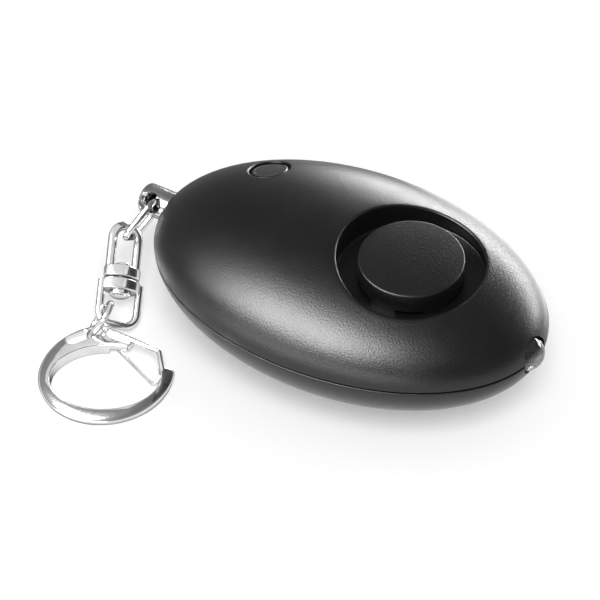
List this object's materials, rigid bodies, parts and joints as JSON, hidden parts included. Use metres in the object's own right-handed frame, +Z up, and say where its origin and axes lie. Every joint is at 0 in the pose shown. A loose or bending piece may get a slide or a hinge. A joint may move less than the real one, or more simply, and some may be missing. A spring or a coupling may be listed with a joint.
{
  "type": "personal safety alarm",
  "caption": "Egg-shaped pocket alarm with a siren cap in a round well, a torch button and a nose lamp; pulling the chromed pin by its swivel chain and gated key ring sets it off.",
  "frame": {"origin": "middle of the flat foot under the battery cover, on the ground", "axes": "+X along the case towards the lamp, +Y across it towards the torch button, +Z up"},
  "size_m": [0.0784, 0.0603, 0.0258],
  "materials": {
    "black_abs": "fine satin grain",
    "zinc_steel": "bright zinc",
    "black_rubber": "matt",
    "brass_sheet": "plain",
    "white_ceramic": "silvered",
    "red_wire": "insulated",
    "green_board": "solder mask",
    "black_resin": "moulded",
    "grey_ferrite": "matt",
    "copper_wire": "enamelled",
    "grey_nylon": "moulded",
    "clear_lens": "clear",
    "tinned_wire": "tinned",
    "cell_steel": "plated",
    "chrome_plate": "bright plating",
    "cream_nylon": "moulded"
  },
  "bodies": {
    "case": {"top_shell": "black_abs", "bottom_shell": "black_abs", "battery_cover": "black_abs", "siren_cap": "black_abs", "cover_screw": "zinc_steel", "case_screws": "zinc_steel", "sounder_seat": "black_rubber", "piezo_plate": "brass_sheet", "piezo_ceramic": "white_ceramic", "sounder_wires": "red_wire", "circuit_board": "green_board", "driver_chip": "black_resin", "drive_transistor": "black_resin", "coil_core": "grey_ferrite", "coil_winding": "copper_wire", "push_switch": "black_resin", "led_lens": "clear_lens", "led_frame": "tinned_wire", "coin_cell_lower": "cell_steel", "coin_cell_upper": "cell_steel", "negative_spring": "brass_sheet", "positive_clip": "brass_sheet", "contact_block": "cream_nylon", "fixed_contact": "brass_sheet"},
    "button": {"torch_button": "black_abs", "switch_plunger": "grey_nylon"},
    "pin": {"pull_pin": "chrome_plate"},
    "contact_leaf": {"moving_contact": "brass_sheet"},
    "upper_link": {"link_1": "chrome_plate"},
    "swivel_top": {"upper_shackle": "chrome_plate", "swivel_rivet": "chrome_plate"},
    "swivel_bottom": {"lower_shackle": "chrome_plate"},
    "lower_link": {"link_2": "chrome_plate"},
    "ring": {"key_ring": "chrome_plate"},
    "gate": {"gate_wire": "chrome_plate"}
  },
  "joints": [
    {"name": "button_press", "type": "slide", "parent": "case", "child": "button", "axis": [0, 0, -1], "range_m": [0, 0.0005], "stiffness_N_per_m": 1500, "springref_m": -0.0002},
    {"name": "pin_pull", "type": "slide", "parent": "case", "child": "pin", "axis": [-1, 0, 0], "range_m": [0, 0.014]},
    {"name": "contact_close", "type": "hinge", "parent": "case", "child": "contact_leaf", "pos_m": [-0.018, 0.00166, 0.0136], "axis": [0, 0, 1], "range_deg": [0, 4.8]},
    {"name": "upper_link_swing", "type": "hinge", "parent": "pin", "child": "upper_link", "pos_m": [-0.03757, 0, 0.0136], "axis": [0.2719, -0.6948, 0.6658], "range_deg": [-10, 8]},
    {"name": "shackle_swing", "type": "hinge", "parent": "upper_link", "child": "swivel_top", "pos_m": [-0.04, -0.00546, 0.0089], "axis": [0.2719, -0.6948, 0.6658], "range_deg": [-20, 6]},
    {"name": "swivel_turn", "type": "hinge", "parent": "swivel_top", "child": "swivel_bottom", "pos_m": [-0.03677, -0.01282, 0.00594], "axis": [0.3898, -0.7922, -0.4695], "range_deg": [-20, 20]},
    {"name": "lower_link_swing", "type": "hinge", "parent": "swivel_bottom", "child": "lower_link", "pos_m": [-0.03396, -0.01852, 0.00256], "axis": [0.6623, 0.5954, -0.4548], "range_deg": [-15, 15]},
    {"name": "ring_swing", "type": "hinge", "parent": "lower_link", "child": "ring", "pos_m": [-0.03806, -0.02035, 0.00065], "axis": [0.3419, -0.9397, 0], "range_deg": [-20, 1.5]},
    {"name": "gate_open", "type": "hinge", "parent": "ring", "child": "gate", "pos_m": [-0.03423, -0.02039, 0.0012], "axis": [0, 0, 1], "range_deg": [-30, 0], "stiffness_Nm_per_rad": 0.02, "springref_deg": 5.73}
  ],
  "couplings": [
    {"joint": "contact_close", "follows": "pin_pull", "rad_per_m": 5.95}
  ]
}
